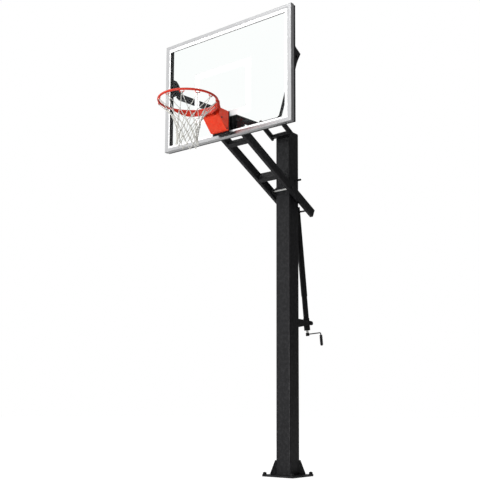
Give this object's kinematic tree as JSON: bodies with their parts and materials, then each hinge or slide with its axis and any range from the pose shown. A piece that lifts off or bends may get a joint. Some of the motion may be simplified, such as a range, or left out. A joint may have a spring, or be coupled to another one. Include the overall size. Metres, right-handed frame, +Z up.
{
  "type": "basketball hoop",
  "caption": "Bolt-down basketball hoop: square steel pole, crank jack and parallelogram arms that raise and lower a glass backboard with a breakaway orange rim and white net.",
  "frame": {"origin": "on the ground at the centre of the base plate's underside", "axes": "+Z up, +Y away from the court (behind the board), +X to the right of a player who faces the board"},
  "size_m": [1.3716, 2.2267, 3.843],
  "materials": {
    "black_powder_coat": "satin black powder coat",
    "zinc_plated_steel": "bright zinc plate",
    "silver_aluminium": "satin anodised extrusion",
    "clear_glass": "tempered glass, clear, with white printed lines",
    "orange_powder_coat": "semi-gloss orange powder coat",
    "net_cord": "braided white cord",
    "black_plastic": "moulded black plastic",
    "spring_steel": "oiled spring wire"
  },
  "bodies": {
    "pole": {"base_plate": "black_powder_coat", "base_gusset_1": "black_powder_coat", "base_gusset_2": "black_powder_coat", "base_gusset_3": "black_powder_coat", "base_gusset_4": "black_powder_coat", "anchor_bolt_1": "zinc_plated_steel", "anchor_bolt_2": "zinc_plated_steel", "anchor_bolt_3": "zinc_plated_steel", "anchor_bolt_4": "zinc_plated_steel", "pole_tube": "black_powder_coat", "pole_cap": "black_plastic", "upper_hinge_block": "black_powder_coat", "upper_hinge_bolt": "zinc_plated_steel", "lower_hinge_lug_left": "black_powder_coat", "lower_hinge_lug_right": "black_powder_coat", "lower_hinge_bar": "zinc_plated_steel", "stop_peg": "zinc_plated_steel", "jack_lug_left": "black_powder_coat", "jack_lug_right": "black_powder_coat"},
    "lower_arms": {"lower_arm_left": "black_powder_coat", "lower_arm_right": "black_powder_coat", "arm_end_plug_left": "black_plastic", "arm_end_plug_right": "black_plastic", "arm_cross_front": "black_powder_coat", "arm_cross_middle": "black_powder_coat", "jack_top_pin": "zinc_plated_steel", "lower_board_bolt": "zinc_plated_steel"},
    "upper_links": {"upper_leg_left": "black_powder_coat", "upper_leg_right": "black_powder_coat", "upper_brace_left": "black_powder_coat", "upper_brace_right": "black_powder_coat", "upper_cross": "black_powder_coat"},
    "board": {"glass_panel": "clear_glass", "trim_bottom": "silver_aluminium", "trim_top": "silver_aluminium", "trim_left": "silver_aluminium", "trim_right": "silver_aluminium", "frame_bottom": "black_powder_coat", "frame_top": "black_powder_coat", "frame_left": "black_powder_coat", "frame_right": "black_powder_coat", "side_bracket_left": "black_powder_coat", "side_bracket_right": "black_powder_coat", "upper_board_bolt_left": "zinc_plated_steel", "upper_board_bolt_right": "zinc_plated_steel", "lower_board_bracket": "black_powder_coat", "rim_mount": "black_powder_coat", "rim_backing_pad": "black_powder_coat"},
    "rim": {"rim_housing": "orange_powder_coat", "rim_ring": "orange_powder_coat", "rim_spring": "spring_steel", "rim_spring_bolt": "zinc_plated_steel", "net_funnel": "net_cord"},
    "jack_body": {"jack_sleeve": "black_powder_coat", "jack_push_tube": "zinc_plated_steel"},
    "jack_leg": {"jack_lower_tube": "black_powder_coat", "jack_housing": "black_powder_coat"},
    "crank": {"crank_screw": "zinc_plated_steel", "crank_arm": "black_powder_coat"},
    "grip": {"crank_grip": "black_plastic"}
  },
  "joints": [
    {"name": "arm_lift", "type": "hinge", "parent": "pole", "child": "lower_arms", "pos_m": [0, -0.1, 2.586], "axis": [1, 0, 0], "range_deg": [0, 47.5]},
    {"name": "link_swing", "type": "hinge", "parent": "pole", "child": "upper_links", "pos_m": [0, -0.1, 3.111], "axis": [1, 0, 0], "range_deg": [0, 47.5]},
    {"name": "board_level", "type": "hinge", "parent": "lower_arms", "child": "board", "pos_m": [0, -0.7985, 2.9174], "axis": [1, 0, 0], "range_deg": [-47.5, 0]},
    {"name": "rim_breakaway", "type": "hinge", "parent": "board", "child": "rim", "pos_m": [0, -0.9835, 2.8905], "axis": [1, 0, 0], "range_deg": [0, 25], "stiffness_Nm_per_rad": 350, "springref_deg": -28.65},
    {"name": "jack_swing", "type": "hinge", "parent": "lower_arms", "child": "jack_body", "pos_m": [0, 0.16356, 2.42997], "axis": [1, 0, 0], "range_deg": [-51.5, 0]},
    {"name": "jack_extend", "type": "slide", "parent": "jack_body", "child": "jack_leg", "axis": [0, 0.1448, -0.9895], "range_m": [0, 0.25]},
    {"name": "crank_turn", "type": "hinge", "parent": "jack_leg", "child": "crank", "pos_m": [0, 0.33035, 1.2901], "axis": [0, 0.1448, -0.9895], "continuous": true},
    {"name": "grip_spin", "type": "hinge", "parent": "crank", "child": "grip", "pos_m": [0, 0.5599, 1.32369], "axis": [0, 0.1448, -0.9895], "continuous": true}
  ],
  "couplings": [
    {"joint": "link_swing", "follows": "arm_lift", "ratio": 1},
    {"joint": "board_level", "follows": "arm_lift", "ratio": -1},
    {"joint": "jack_swing", "follows": "arm_lift", "ratio": -1.079},
    {"joint": "jack_extend", "follows": "arm_lift", "m_per_rad": 0.283},
    {"joint": "crank_turn", "follows": "arm_lift", "ratio": 296.36}
  ]
}
